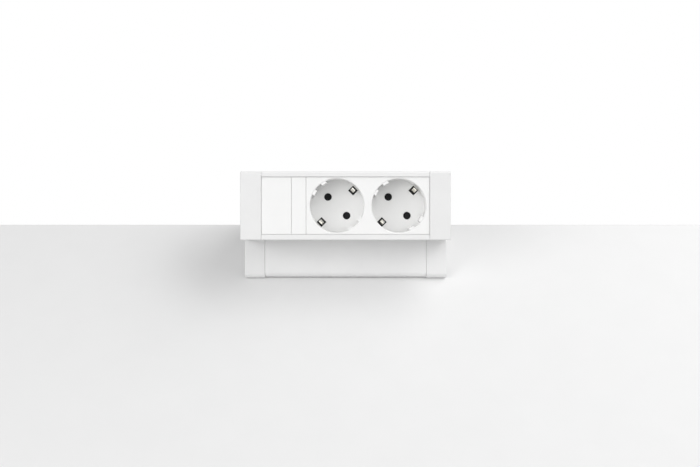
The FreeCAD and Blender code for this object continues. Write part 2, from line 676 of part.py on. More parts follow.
def earth_strips():
    """Upper and lower earth strips: start x, end x and height on the face."""
    start = CARRIER_X0 - 2.2
    upper = (start, SOCKET_X[1] + WINDOW_D + ARM_W / 2, FACE_MID + WINDOW_D + STRIP_SHIFT)
    lower = (start, SOCKET_X[1] - WINDOW_D + ARM_W / 2, FACE_MID - WINDOW_D - STRIP_SHIFT)
    return [upper, lower]


def clip_arm():
    """Earth clip drawn about a socket's centre, on the +x side: it bows towards the centre near its tip."""
    t = ARM_T
    back = -BAR_FRONT
    root = WINDOW_CENTRE - t / 2
    nose = root - ARM_BOW
    spots = [(root, back), (root, -FLOOR_FRONT + 2.5), (nose, -FLOOR_FRONT + 8.5),
             (root + 0.5, -PLATE_SINK - 4.5)]
    outline = spots + [(x + t, z) for x, z in reversed(spots)]
    wire = Part.makePolygon([V(x, -ARM_W / 2, z) for x, z in outline + outline[:1]])
    arm = Part.Face(wire).extrude(V(0, ARM_W, 0))
    return arm


def earth_busbar():
    """Upper and lower strips joined outside the carrier, with a clip for each recess window."""
    solids = []
    for start, stop, y in earth_strips():
        solids.append(box(start, stop, y - ARM_W / 2, y + ARM_W / 2, -BAR_BACK, -BAR_FRONT))
    start = earth_strips()[0][0]
    low = earth_strips()[1][2] - ARM_W / 2
    high = earth_strips()[0][2] + ARM_W / 2
    solids.append(box(start - 3.0, start + 1.4, low, high, -BAR_BACK, -BAR_FRONT))
    solids.append(box(start - 3.0, start - 3.0 + BAR_T, low, low + TAB_W, -BAR_BACK - TAB_LONG, -BAR_FRONT))
    for x in SOCKET_X:
        for turn in (0, 180):
            arm = round_socket(clip_arm(), x, PIN_ANGLE + turn - 90)
            foot = box(WINDOW_CENTRE - ARM_T / 2, WINDOW_CENTRE + ARM_T / 2, -ARM_W / 2, ARM_W / 2,
                       -BAR_BACK, -BAR_FRONT + 0.2)
            solids += [arm, round_socket(foot, x, PIN_ANGLE + turn - 90)]
    return on_face(fuse(solids))


def carrier_cover():
    plate = box(CARRIER_X0, CARRIER_X1, CARRIER_Y0, CARRIER_Y0 + CARRIER_H, -COVER_BACK, -CARRIER_BACK)
    plate = plate.makeFillet(2.0, [e for e in plate.Edges if e.BoundBox.ZLength > 1])
    cuts = []
    for x in SOCKET_X:
        cuts.append(rod(V(x, FACE_MID, -COVER_BACK - 1), Z_AXIS,
                        CARRIER_SCREW_R + HOLE_CLEARANCE, COVER_T + 2))
    for start, stop, y in bar_runs():
        cuts.append(box(start + 1.0, start + 2.0 + BAR_T, y - TAB_W / 2 - 0.5, y + TAB_W / 2 + 0.5,
                        -COVER_BACK - 1, -CARRIER_BACK + 1))
    return on_face(plate.cut(cuts))


def carrier_screws():
    """One screw behind each socket, through cover and carrier into the cup's boss."""
    solids = []
    for x in SOCKET_X:
        tip = -(FLOOR_BACK + 0.3)
        shank = rod(V(x, FACE_MID, -COVER_BACK - 0.1), Z_AXIS, CARRIER_SCREW_R, COVER_BACK + tip + 0.1)
        head = rod(V(x, FACE_MID, -COVER_BACK - 1.8), Z_AXIS, CARRIER_SCREW_HEAD_R, 1.8)
        cross = box(x - 1.5, x + 1.5, FACE_MID - 0.3, FACE_MID + 0.3, -COVER_BACK - 2, -COVER_BACK - 0.9)
        solids.append(on_face(fuse([shank, head]).cut(cross)))
    return Part.makeCompound(solids)


def terminal_block():
    x0 = BLOCK_X - BLOCK_L / 2
    y0 = BLOCK_Y - BLOCK_W / 2
    body = box(x0, x0 + BLOCK_L, y0, y0 + BLOCK_W, BASE_Z, BASE_Z + BLOCK_H)
    body = body.makeFillet(0.8, [e for e in body.Edges if e.BoundBox.ZLength > 5])
    cuts = []
    for x in pole_x():
        cuts.append(rod(V(x, y0 - 1, BASE_Z + POLE_BORE_Z), Y_AXIS, POLE_BORE_R, BLOCK_W + 2))
        for y in clamp_screw_y():
            cuts.append(rod(V(x, y, BASE_Z + POLE_BORE_Z), Z_AXIS, POLE_SCREW_R + 0.1, BLOCK_H))
    for x in block_fixing_x():
        cuts.append(rod(V(x, BLOCK_Y, BASE_Z - 1), Z_AXIS, SMALL_SCREW_R + HOLE_CLEARANCE, BLOCK_H + 2))
        cuts.append(rod(V(x, BLOCK_Y, BASE_Z + 3), Z_AXIS, SMALL_HEAD_R + HOLE_CLEARANCE, BLOCK_H))
    return body.cut(cuts)


def pole_x():
    pitch = BLOCK_L / POLES
    return [BLOCK_X + (i - (POLES - 1) / 2) * pitch for i in range(POLES)]


def clamp_screw_y():
    return [BLOCK_Y - BLOCK_W / 4, BLOCK_Y + BLOCK_W / 4]


def terminal_screws():
    solids = []
    for x in pole_x():
        for y in clamp_screw_y():
            body = rod(V(x, y, BASE_Z + 7.2), Z_AXIS, POLE_SCREW_R, 5.0)
            solids.append(body.cut(box(x - 2, x + 2, y - 0.25, y + 0.25, BASE_Z + 11.4, BASE_Z + 13)))
    return Part.makeCompound(solids)


def pan_screw(x, y, seat, shank_top):
    """Small screw with its head's underside at seat, its tip flush with the underside of the base."""
    shank = rod(V(x, y, PAD_PROUD), Z_AXIS, SMALL_SCREW_R, seat - PAD_PROUD + 0.2)
    head = rod(V(x, y, seat), Z_AXIS, SMALL_HEAD_R, shank_top)
    return fuse([shank, head]).cut(box(x - 2, x + 2, y - 0.3, y + 0.3, seat + shank_top - 0.7, seat + 5))


def terminal_fixing_screws():
    return Part.makeCompound([pan_screw(x, BLOCK_Y, BASE_Z + 3, 1.8) for x in block_fixing_x()])


def bond_screw():
    x, y = bond_place()
    return pan_screw(x, y, BASE_Z + 1.0, 1.8)


def tube(points, radius):
    """Round tube along straight runs joined by tangent arcs."""
    edges = []
    start = points[0]
    for i in range(1, len(points) - 1):
        back = points[i - 1] - points[i]
        ahead = points[i + 1] - points[i]
        turn = pi - back.getAngle(ahead)
        bend = 0.45 * min(back.Length, ahead.Length) / tan(turn / 2)
        cut = bend * tan(turn / 2)
        a = points[i] + V(back).normalize() * cut
        b = points[i] + V(ahead).normalize() * cut
        middle = (V(back).normalize() + V(ahead).normalize()).normalize()
        apex = points[i] + middle * (bend / cos(turn / 2) - bend)
        edges.append(Part.makeLine(start, a))
        edges.append(Part.Arc(a, apex, b).toShape())
        start = b
    edges.append(Part.makeLine(start, points[-1]))
    path = Part.Wire(edges)
    ring = Part.Wire([Part.makeCircle(radius, points[0], points[1] - points[0])])
    pipe = path.makePipeShell([ring], True, True)
    expected = pi * radius * radius * path.Length
    print("tube volume / (section x length):", round(pipe.Volume / expected, 4))
    return pipe


def lead(pole, tab, layer):
    """Lead from a pole's rear mouth round and up to a tab's end, with its crimp sleeve."""
    x = pole_x()[pole]
    mouth_y = BLOCK_Y + BLOCK_W / 2
    mouth_z = BASE_Z + POLE_BORE_Z
    end = face_point(tab[0], tab[1], BAR_BACK + TAB_LONG)
    away = NORMAL * -1
    reach = LEAD_REACH + layer * LEAD_PITCH
    sleeve = Part.makeCylinder(LEAD_R + SLEEVE_WALL, SLEEVE_L, end, away)
    exit_point = end + away * (SLEEVE_L - LEAD_BITE)
    points = [V(x, mouth_y - LEAD_BITE, mouth_z), V(x, mouth_y + reach, mouth_z),
              V(x, mouth_y + reach, exit_point.z - LEAD_DROP[pole]), exit_point + away * LEAD_STRAIGHT, exit_point]
    return fuse([tube(points, LEAD_R), sleeve])


def tab_places():
    """Tab centres (x, height on the face): live, neutral, earth."""
    places = [(start + 1.5 + BAR_T / 2, y) for start, stop, y in bar_runs()]
    start, stop, y = earth_strips()[1]
    places.append((start - 3.0 + BAR_T / 2, y - ARM_W / 2 + TAB_W / 2))
    return places


def bond_lead():
    """Lead from the earth pole across the front of the block to a ring under the bonding screw."""
    x, y = bond_place()
    ring = rod(V(x, y, BASE_Z), Z_AXIS, RING_R, RING_T).cut(
        rod(V(x, y, BASE_Z - OVER), Z_AXIS, SMALL_SCREW_R + HOLE_CLEARANCE, RING_T + 2 * OVER))
    start_x = pole_x()[EARTH_POLE]
    front = BLOCK_Y - BLOCK_W / 2
    pole_z = BASE_Z + POLE_BORE_Z
    low_z = BASE_Z + LEAD_R
    points = [V(start_x, front + LEAD_BITE, pole_z), V(start_x, front - 4.0, pole_z),
              V((start_x + x) / 2, front - 6.0, (pole_z + low_z) / 2), V(x - 3.0, front - 5.0, low_z + 1.0),
              V(x, front - 0.5, low_z + 0.4), V(x, y - SMALL_HEAD_R - 0.4, low_z + 0.1)]
    return fuse([ring, tube(points, LEAD_R)])


def cable_bush():
    """Nylon bush snapped into the rear wall; its bore takes the mains lead."""
    flange = rod(V(CORD_X, REAR_Y, CORD_Z), Y_AXIS, BUSH_FLANGE_R, BUSH_FLANGE_T)
    flange = flange.makeFillet(0.8, [e for e in flange.Edges if e.BoundBox.YMin > REAR_Y + 1])
    inside = REAR_Y - WALL
    neck = rod(V(CORD_X, inside - BUSH_REACH, CORD_Z), Y_AXIS, BUSH_BODY_R - FIT, WALL + BUSH_REACH + 0.5)
    barb = Part.makeCone(BUSH_BODY_R - FIT, BUSH_BARB_R, BUSH_REACH - 1.5 - 0.1,
                         V(CORD_X, inside - BUSH_REACH, CORD_Z), Y_AXIS)
    lip = rod(V(CORD_X, inside - 1.65, CORD_Z), Y_AXIS, BUSH_BARB_R, 1.5)
    bore = rod(V(CORD_X, inside - BUSH_REACH - 1, CORD_Z), Y_AXIS, CORD_R,
               WALL + BUSH_REACH + BUSH_FLANGE_T + 2)
    return fuse([flange, neck, barb, lip]).cut(bore)


def grip_half(z0, z1):
    """One half of the cord grip between two heights, with the cord's groove and screw holes."""
    body = box(CORD_X - GRIP_W / 2, CORD_X + GRIP_W / 2, GRIP_Y - GRIP_L / 2, GRIP_Y + GRIP_L / 2, z0, z1)
    body = body.makeFillet(1.0, [e for e in body.Edges if e.BoundBox.ZLength > 2])
    cuts = [rod(V(CORD_X, GRIP_Y - GRIP_L, CORD_Z), Y_AXIS, CORD_R, 2 * GRIP_L)]
    for side in (-1, 1):
        cuts.append(rod(V(CORD_X + side * GRIP_SCREW_X, GRIP_Y, z0 - 1), Z_AXIS,
                        SMALL_SCREW_R + HOLE_CLEARANCE, z1 - z0 + 2))
    return body.cut(cuts)


def cord_grip_screws():
    seat = CORD_Z + CORD_R + GRIP_ROOF
    return Part.makeCompound([pan_screw(CORD_X + side * GRIP_SCREW_X, GRIP_Y, seat, 1.8)
                              for side in (-1, 1)])


def seat_pad_x():
    outer = HALF_L - SEAT_PAD_END - SEAT_PAD_W / 2
    return [-outer, 0, outer]


def seat_pad(x, gap):
    """Rubber strip across the base; with a gap it is the pocket it sits in."""
    half = SEAT_PAD_W / 2 + gap
    return box(x - half, x + half, SEAT_PAD_Y[0] - gap, SEAT_PAD_Y[1] + gap, 0, SEAT_PAD_T)


def seat_pads():
    return Part.makeCompound([seat_pad(x, 0) for x in seat_pad_x()])


def clamp_bracket():
    """Bent steel plate: a leg on the rear wall and an arm under the desk."""
    r = BRACKET_BEND_R
    inner = [V(0, REAR_Y, BRACKET_TOP), V(0, REAR_Y, ARM_TOP),
             V(0, REAR_Y - ARM_LENGTH, ARM_TOP), V(0, REAR_Y - ARM_LENGTH, ARM_BOTTOM),
             V(0, REAR_Y + BRACKET_T, ARM_BOTTOM), V(0, REAR_Y + BRACKET_T, BRACKET_TOP)]
    corners = [p - X_AXIS * (BRACKET_W / 2) for p in inner]
    wire = rounded_wire(corners, [0.5, r, 0.5, 0.5, r + BRACKET_T, 0.5])
    plate = Part.Face(wire).extrude(V(BRACKET_W, 0, 0))
    cuts = [rod(V(0, SCREW_Y, ARM_BOTTOM - 1), Z_AXIS, ROD_R + HOLE_CLEARANCE, BRACKET_T + 2)]
    for x in (-BOLT_X, BOLT_X):
        cuts.append(rod(V(x, REAR_Y - 1, BOLT_Z), Y_AXIS, BOLT_R + HOLE_CLEARANCE, BRACKET_T + 2))
    front = REAR_Y - ARM_LENGTH
    for side in (-1, 1):
        a = V(side * (BRACKET_W / 2 + 1), front - 1, ARM_BOTTOM - 1)
        b = V(side * (BRACKET_W / 2 + 1), front + 10, ARM_BOTTOM - 1)
        c = V(side * (BRACKET_W / 2 - 10), front - 1, ARM_BOTTOM - 1)
        cuts.append(Part.Face(Part.makePolygon([a, b, c, a])).extrude(V(0, 0, BRACKET_T + 2)))
        top = V(side * (BRACKET_W / 2 + 1), REAR_Y - 1, BRACKET_TOP + 1)
        low = top + V(0, 0, -8)
        inwards = top + V(-side * 8, 0, 0)
        cuts.append(Part.Face(Part.makePolygon([top, low, inwards, top])).extrude(V(0, BRACKET_T + 2, 0)))
    return plate.cut(cuts)


def edge_pad():
    """Rubber strip on the leg, where it stops against the desk's edge."""
    half = BRACKET_W / 2 - 2.0
    top = -EDGE_PAD_DROP
    return box(-half, half, REAR_Y - EDGE_PAD_T, REAR_Y, top - EDGE_PAD_H, top)


def bracket_bolts():
    solids = []
    for x in (-BOLT_X, BOLT_X):
        start = REAR_Y - WALL - NUT_BAR_T
        shank = rod(V(x, start, BOLT_Z), Y_AXIS, BOLT_R, WALL + NUT_BAR_T + BRACKET_T + 0.2)
        head = rod(V(x, REAR_Y + BRACKET_T, BOLT_Z), Y_AXIS, BOLT_HEAD_R, BOLT_HEAD_H)
        head = head.makeFillet(1.2, [e for e in head.Edges if e.BoundBox.YMin > REAR_Y + BRACKET_T + 1])
        drive = hex_prism(V(x, REAR_Y + BRACKET_T + 1.0, BOLT_Z), Y_AXIS, 3.0, BOLT_HEAD_H)
        solids.append(fuse([shank, head]).cut(drive))
    return Part.makeCompound(solids)


def nut_bar():
    half = BOLT_X + 6.0
    y1 = REAR_Y - WALL
    bar = box(-half, half, y1 - NUT_BAR_T, y1, BOLT_Z - NUT_BAR_H / 2, BOLT_Z + NUT_BAR_H / 2)
    holes = [rod(V(x, y1 - NUT_BAR_T - 1, BOLT_Z), Y_AXIS, BOLT_R + THREAD_CLEARANCE, NUT_BAR_T + 2)
             for x in (-BOLT_X, BOLT_X)]
    return bar.cut(holes)


def weld_nut():
    nut = hex_prism(V(0, SCREW_Y, ARM_BOTTOM - NUT_H), Z_AXIS, NUT_FLATS, NUT_H)
    return nut.cut(rod(V(0, SCREW_Y, ARM_BOTTOM - NUT_H - 1), Z_AXIS, ROD_R + THREAD_CLEARANCE, NUT_H + 2))


def clamp_screw():
    """Screw with a collar held in the pad's cup; its lower end is moulded into the knob."""
    top = CUP_BOTTOM
    collar = rod(V(0, SCREW_Y, top - COLLAR_H - COLLAR_GAP), Z_AXIS, COLLAR_R, COLLAR_H)
    low = KNOB_BOTTOM + 3.0
    shank = rod(V(0, SCREW_Y, low), Z_AXIS, ROD_R, top - COLLAR_GAP - low)
    return fuse([shank, collar])


def clamp_knob():
    """Lobed knob with a blind bore for the screw."""
    body = rod(V(0, SCREW_Y, KNOB_BOTTOM), Z_AXIS, KNOB_R, KNOB_H)
    cuts = []
    for i in range(KNOB_LOBES):
        a = radians(360 / KNOB_LOBES * i)
        spot = V((KNOB_R + 3.0) * cos(a), SCREW_Y + (KNOB_R + 3.0) * sin(a), KNOB_BOTTOM - 1)
        cuts.append(rod(spot, Z_AXIS, 5.5, KNOB_H + 2))
    body = body.cut(cuts)
    rims = [e for e in body.Edges if e.BoundBox.ZLength < 0.01]
    body = body.makeFillet(1.2, rims)
    return body.cut(rod(V(0, SCREW_Y, KNOB_BOTTOM + 3.0), Z_AXIS, ROD_R, KNOB_H))


def clamp_pad():
    """Swivel cup: a disc with a boss whose undercut holds the screw's collar."""
    disc = rod(V(0, SCREW_Y, CUP_BOTTOM), Z_AXIS, PAD_R, PAD_T)
    boss = rod(V(0, SCREW_Y, PAD_BOTTOM), Z_AXIS, PAD_BOSS_R, PAD_BOSS_H + 0.2)
    cavity = rod(V(0, SCREW_Y, CUP_BOTTOM - COLLAR_H - 2 * COLLAR_GAP), Z_AXIS,
                 COLLAR_R + COLLAR_GAP, COLLAR_H + 2 * COLLAR_GAP)
    neck = rod(V(0, SCREW_Y, PAD_BOTTOM - 1), Z_AXIS, ROD_R + 0.08, PAD_BOSS_H)
    return fuse([disc, boss]).cut([cavity, neck])


def pad_facing():
    disc = rod(V(0, SCREW_Y, CUP_TOP), Z_AXIS, PAD_R - 0.4, FACING_T)
    return disc.makeFillet(0.6, [e for e in disc.Edges if e.BoundBox.ZMin > CUP_TOP + 1])


def main():
    os.makedirs("parts", exist_ok=True)
    save("housing_profile", housing_profile())
    save("right_end_cap", end_cap(True))
    save("left_end_cap", end_cap(False))
    save("end_cap_screws", cap_screws())
    save("blank_plate", blank_plate())
    save("spacer_plate", spacer_plate())
    save("double_socket_plate", double_socket_plate())
    for side, x in zip(("left", "right"), SOCKET_X):
        save(side + "_shutter", shutter(x))
        save(side + "_shutter_spring", hairpin_spring(x))
    save("contact_carrier", contact_carrier())
    live, neutral = bar_runs()
    save("live_busbar", busbar(live, 1))
    save("neutral_busbar", busbar(neutral, -1))
    save("earth_busbar", earth_busbar())
    save("carrier_cover", carrier_cover())
    save("carrier_screws", carrier_screws())
    save("terminal_block", terminal_block())
    save("terminal_screws", terminal_screws())
    save("terminal_fixing_screws", terminal_fixing_screws())
    live_tab, neutral_tab, earth_tab = tab_places()
    save("live_lead", lead(LIVE_POLE, live_tab, 2))
    save("neutral_lead", lead(NEUTRAL_POLE, neutral_tab, 1))
    save("earth_lead", lead(EARTH_POLE, earth_tab, 0))
    save("bond_lead", bond_lead())
    save("bond_screw", bond_screw())
    save("cable_bush", cable_bush())
    save("cord_grip_base", grip_half(BASE_Z, CORD_Z - GRIP_NIP / 2))
    save("cord_grip_saddle", grip_half(CORD_Z + GRIP_NIP / 2, CORD_Z + CORD_R + GRIP_ROOF))
    save("cord_grip_screws", cord_grip_screws())
    save("seat_pads", seat_pads())
    save("clamp_bracket", clamp_bracket())
    save("edge_pad", edge_pad())
    save("bracket_bolts", bracket_bolts())
    save("bracket_nut_bar", nut_bar())
    save("clamp_nut", weld_nut())
    save("clamp_screw", clamp_screw())
    save("clamp_knob", clamp_knob())
    save("clamp_pad", clamp_pad())
    save("pad_facing", pad_facing())


main()
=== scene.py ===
import json
from math import cos, pi, sin

import bpy
from mathutils import Matrix, Vector


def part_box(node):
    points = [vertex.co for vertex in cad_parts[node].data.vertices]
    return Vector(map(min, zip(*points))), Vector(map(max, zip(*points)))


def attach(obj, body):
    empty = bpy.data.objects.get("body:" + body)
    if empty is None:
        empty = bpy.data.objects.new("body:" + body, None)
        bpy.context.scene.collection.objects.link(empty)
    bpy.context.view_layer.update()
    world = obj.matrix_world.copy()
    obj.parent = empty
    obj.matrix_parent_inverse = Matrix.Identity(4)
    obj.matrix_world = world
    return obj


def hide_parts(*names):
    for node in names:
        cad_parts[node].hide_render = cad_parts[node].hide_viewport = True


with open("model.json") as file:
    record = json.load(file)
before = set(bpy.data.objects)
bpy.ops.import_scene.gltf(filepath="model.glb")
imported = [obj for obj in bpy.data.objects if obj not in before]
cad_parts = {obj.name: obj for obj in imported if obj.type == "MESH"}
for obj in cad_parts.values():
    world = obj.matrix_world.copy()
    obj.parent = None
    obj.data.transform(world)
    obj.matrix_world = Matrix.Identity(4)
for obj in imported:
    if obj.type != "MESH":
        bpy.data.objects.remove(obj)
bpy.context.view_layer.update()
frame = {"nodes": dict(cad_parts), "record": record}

# Desk power strip. Metres, in the row frame: +X along the strip, +Y to the rear, +Z up, desk top at z = 0.

NODES = frame["nodes"]
MOUNTS = {m["name"]: m for m in frame["record"]["mounts"]}

# --- places read from the frame ---
LEFT = Vector(MOUNTS["left_socket"]["pos_m"])
NORMAL = Vector(MOUNTS["left_socket"]["axis"]).normalized()
ALONG = Vector((1, 0, 0))
UP_FACE = NORMAL.cross(ALONG).normalized()

# --- clamp screw and knob ---
THREAD_PITCH = 0.00125
THREAD_DEPTH = 0.00065
THREAD_SEGMENTS = 32
THREAD_STEPS = 6            # rings in one pitch
THREAD_FLANK = 2.6          # steepness of the thread's flanks
THREAD_ROOT = 0.15          # taken off the flank, which leaves a flat at the root
THREAD_IN_KNOB = 0.001      # the thread starts this far below the knob's top
THREAD_TO_COLLAR = 0.003    # and ends this far below the collar
SCREW_BURIED = 0.0005       # length of the taper at the screw's end, inside the knob
SCREW_TIP_SHARE = 0.85      # radius at the screw's end, as a share of the rod's
COLLAR_STEP = 0.001         # the collar's radius less the rod's
COLLAR_H = 0.0024
COLLAR_NECK = 0.0002
COLLAR_ROUND = 0.0003
KNOB_LOBES = 6
KNOB_SEGMENTS = 180
LOBE_DEPTH = 0.17           # how far the rim dips between lobes, as a share of the radius
LOBE_START = 0.45           # the lobes fade out inside this share of the radius
LOBE_SHARPNESS = 1.6
# the knob's outline from the underside up: share of its radius, share of its height
KNOB_OUTLINE = [(0.30, 0.10), (0.55, 0.09), (0.66, 0.03), (0.74, 0.0), (0.86, 0.0), (0.94, 0.035),
                (0.985, 0.09), (1.0, 0.18), (1.0, 0.34), (0.985, 0.40), (0.985, 0.46), (1.0, 0.52),
                (1.0, 0.66), (0.985, 0.75), (0.93, 0.83), (0.84, 0.87), (0.62, 0.88), (0.50, 0.885),
                (0.46, 0.91), (0.445, 0.97), (0.42, 1.0), (0.27, 1.0)]

# --- surface detail: noise scales, per metre ---
CLOUD_SCALE = 38.0
SMEAR_SCALE = 60.0
TARNISH_SCALE = 90.0
PEEL_SCALE = 260.0
DUST_SCALE = 700.0
DRAWN_SCALE = 900.0
GRAIN_SCALE = 1500.0
SPECK_SCALE = 2600.0
DRAWN_STRETCH = (0.01, 1.0, 1.0)
BEVEL_SAMPLES = 4
METAL_WORN_EDGE = 0.0003
METAL_SOFT_EDGE = 0.0002
RUBBER_SOFT_EDGE = 0.0003
LEAD_SOFT_EDGE = 0.0002

# --- stage, camera and light ---
DESK_DEPTH = 0.75
DESK_WIDTH = 3.2
DESK_T = 0.0248
CAMERA_DISTANCE = 0.70
CAMERA_SENSOR = 36.0
CAMERA_FOCAL = 1000.0 / 700.0 * CAMERA_SENSOR
CAMERA_CLIP = 0.01
LIP_ABOVE_INSERT = 0.0008   # the sockets' mounts lie this far behind the lips' face
AIM_RIGHT = 0.00315         # the view's centre, from the middle of the face
AIM_BELOW = 0.01955
LIT_POINT = Vector((0, 0, 0.04))
# name, place, size, power
SOFT_BOXES = [("right", (0.9, -0.1, 0.85), 0.8, 4.5), ("right_high", (0.55, -0.2, 1.0), 0.8, 0.9),
              ("left_front", (-0.9, -0.6, 0.8), 0.8, 6.4), ("front", (0.0, -1.0, 1.2), 1.2, 5.6),
              ("back_right", (0.6, 0.5, 0.8), 0.8, 4.8), ("back_left", (-0.5, 0.45, 0.9), 0.8, 0.5)]
SURROUNDINGS_LIGHT = 0.25
BACKDROP_LIGHT = 1.0


# ---------------------------------------------------------------- node helpers

class Nodes:
    """Small wrapper for building a material's node tree."""

    def __init__(self, name):
        self.material = bpy.data.materials.new(name)
        self.material.use_nodes = True
        self.tree = self.material.node_tree
        self.tree.nodes.clear()
        self.out = self.tree.nodes.new("ShaderNodeOutputMaterial")
        self.shader = self.tree.nodes.new("ShaderNodeBsdfPrincipled")
        self.tree.links.new(self.shader.outputs[0], self.out.inputs["Surface"])
        self.place = self.tree.nodes.new("ShaderNodeTexCoord").outputs["Object"]

    def add(self, kind, **values):
        node = self.tree.nodes.new(kind)
        for key, value in values.items():
            setattr(node, key, value)
        return node

    def link(self, source, target):
        self.tree.links.new(source, target)
        return target

    def noise(self, scale, detail=3.0, rough=0.55, stretch=None):
        source = self.place
        if stretch:
            mapping = self.add("ShaderNodeMapping")
            mapping.inputs["Scale"].default_value = stretch
            self.link(source, mapping.inputs["Vector"])
            source = mapping.outputs[0]
        node = self.add("ShaderNodeTexNoise")
        node.inputs["Scale"].default_value = scale
        node.inputs["Detail"].default_value = detail
        node.inputs["Roughness"].default_value = rough
        self.link(source, node.inputs["Vector"])
        return node.outputs["Fac"]

    def ramp(self, fac, low, high, start=0.0, stop=1.0):
        node = self.add("ShaderNodeMapRange")
        node.inputs["From Min"].default_value = start
        node.inputs["From Max"].default_value = stop
        node.inputs["To Min"].default_value = low
        node.inputs["To Max"].default_value = high
        self.link(fac, node.inputs["Value"])
        return node.outputs[0]

    def mix(self, fac, a, b):
        node = self.add("ShaderNodeMix", data_type="RGBA")
        for value, socket in ((fac, node.inputs[0]), (a, node.inputs[6]), (b, node.inputs[7])):
            if hasattr(value, "links"):
                self.link(value, socket)
            elif isinstance(value, tuple):
                socket.default_value = (*value, 1.0)
            else:
                socket.default_value = value
        return node.outputs[2]

    def sum(self, a, b):
        node = self.add("ShaderNodeMath", operation="ADD")
        self.link(a, node.inputs[0])
        self.link(b, node.inputs[1])
        return node.outputs[0]

    def edges(self, radius, low=0.02, high=0.35):
        """A mask that rises towards sharp edges, where the bevelled and true normals differ."""
        bevel = self.add("ShaderNodeBevel", samples=BEVEL_SAMPLES)
        bevel.inputs["Radius"].default_value = radius
        geometry = self.add("ShaderNodeNewGeometry")
        dot = self.add("ShaderNodeVectorMath", operation="DOT_PRODUCT")
        self.link(bevel.outputs[0], dot.inputs[0])
        self.link(geometry.outputs["Normal"], dot.inputs[1])
        return self.ramp(dot.outputs["Value"], 1.0, 0.0, 1.0 - high, 1.0 - low)

    def bump(self, heights, soften):
        """Layers bumps on softened edges; heights is a list of (fac, distance), each on the one before."""
        soft = self.add("ShaderNodeBevel", samples=BEVEL_SAMPLES)
        soft.inputs["Radius"].default_value = soften
        normal = soft.outputs[0]
        for fac, distance in heights:
            node = self.add("ShaderNodeBump")
            node.inputs["Distance"].default_value = distance
            node.inputs["Strength"].default_value = 1.0
            self.link(fac, node.inputs["Height"])
            self.link(normal, node.inputs["Normal"])
            normal = node.outputs[0]
        self.link(normal, self.shader.inputs["Normal"])


def painted(name, base, shade, roughness, grain, peel, spec=0.45, edge=0.0004, edge_highlight=0.05, drawn=0.0):
    """Powder coat or moulded plastic: orange peel, soft clouding, specks of dust, softened edges that are
    glossier where worn, and a painted highlight that lightens every sharp edge.

    edge is the radius of the softened edges, and drawn the height of faint lines along the strip.
    """
    m = Nodes(name)
    cloud = m.noise(CLOUD_SCALE, 3.0)
    coat = m.mix(m.ramp(cloud, 0.0, 1.0, 0.3, 0.7), base, shade)
    dust = m.ramp(m.noise(DUST_SCALE, 5.0, 0.7), 0.0, 0.5, 0.66, 0.78)
    coat = m.mix(dust, coat, tuple(channel * 0.94 for channel in shade))
    edge_mask = m.edges(edge)
    # painted highlight: the colour at every sharp edge is mixed lighter, as if light caught the edge; the
    # same edge mask also lowers the roughness below, as real rubbing would
    coat = m.mix(m.ramp(edge_mask, 0.0, edge_highlight * 6.0), coat, tuple(min(1.0, c + edge_highlight) for c in base))
    m.link(coat, m.shader.inputs["Base Color"])
    speck = m.noise(SPECK_SCALE, 2.0)
    smear = m.noise(SMEAR_SCALE, 4.0)
    rough = m.sum(m.ramp(speck, roughness - 0.05, roughness + 0.05, 0.3, 0.7),
                  m.sum(m.ramp(smear, -0.04, 0.06, 0.3, 0.7), m.ramp(edge_mask, 0.0, -0.06)))
    m.link(rough, m.shader.inputs["Roughness"])
    m.shader.inputs["Specular IOR Level"].default_value = spec
    layers = [(m.noise(GRAIN_SCALE, 2.0), grain), (m.noise(PEEL_SCALE, 2.0), peel)]
    if drawn:
        layers.append((m.noise(DRAWN_SCALE, 2.0, stretch=DRAWN_STRETCH), drawn))
    m.bump(layers, edge)
    return m.material


def metal(name, base, shade, roughness, stretch=(1.0, 1.0, 1.0), scale=900.0, bump=4e-6):
    """Bare metal with drawn or rolled grain, slight tarnish and rubbed edges."""
    m = Nodes(name)
    tarnish = m.noise(TARNISH_SCALE, 4.0)
    edge_mask = m.edges(METAL_WORN_EDGE)
    bare = m.mix(m.ramp(tarnish, 0.0, 1.0, 0.35, 0.7), base, shade)
    bare = m.mix(m.ramp(edge_mask, 0.0, 0.7), bare, tuple(min(1.0, channel * 1.2) for channel in base))
    m.link(bare, m.shader.inputs["Base Color"])
    grain = m.noise(scale, 3.0, stretch=stretch)
    rough = m.sum(m.ramp(grain, roughness - 0.07, roughness + 0.1, 0.3, 0.7), m.ramp(edge_mask, 0.0, -0.08))
    m.link(rough, m.shader.inputs["Roughness"])
    m.shader.inputs["Metallic"].default_value = 1.0
    m.bump([(grain, bump), (m.noise(200.0, 3.0), bump)], METAL_SOFT_EDGE)
    return m.material


def rubber(name, base, shade, roughness=0.75):
    """Matt elastomer with a fine moulded grain and a dusty bloom."""
    m = Nodes(name)
    body = m.mix(m.ramp(m.noise(120.0, 4.0), 0.0, 1.0, 0.3, 0.7), base, shade)
    bloom = m.ramp(m.noise(900.0, 5.0, 0.7), 0.0, 0.4, 0.6, 0.8)
    m.link(m.mix(bloom, body, tuple(channel + 0.06 for channel in shade)), m.shader.inputs["Base Color"])
    m.link(m.ramp(m.noise(1800.0), roughness - 0.08, roughness + 0.08), m.shader.inputs["Roughness"])
    m.shader.inputs["Specular IOR Level"].default_value = 0.3
    m.bump([(m.noise(2200.0), 2e-5), (m.noise(400.0), 2e-5)], RUBBER_SOFT_EDGE)
    return m.material


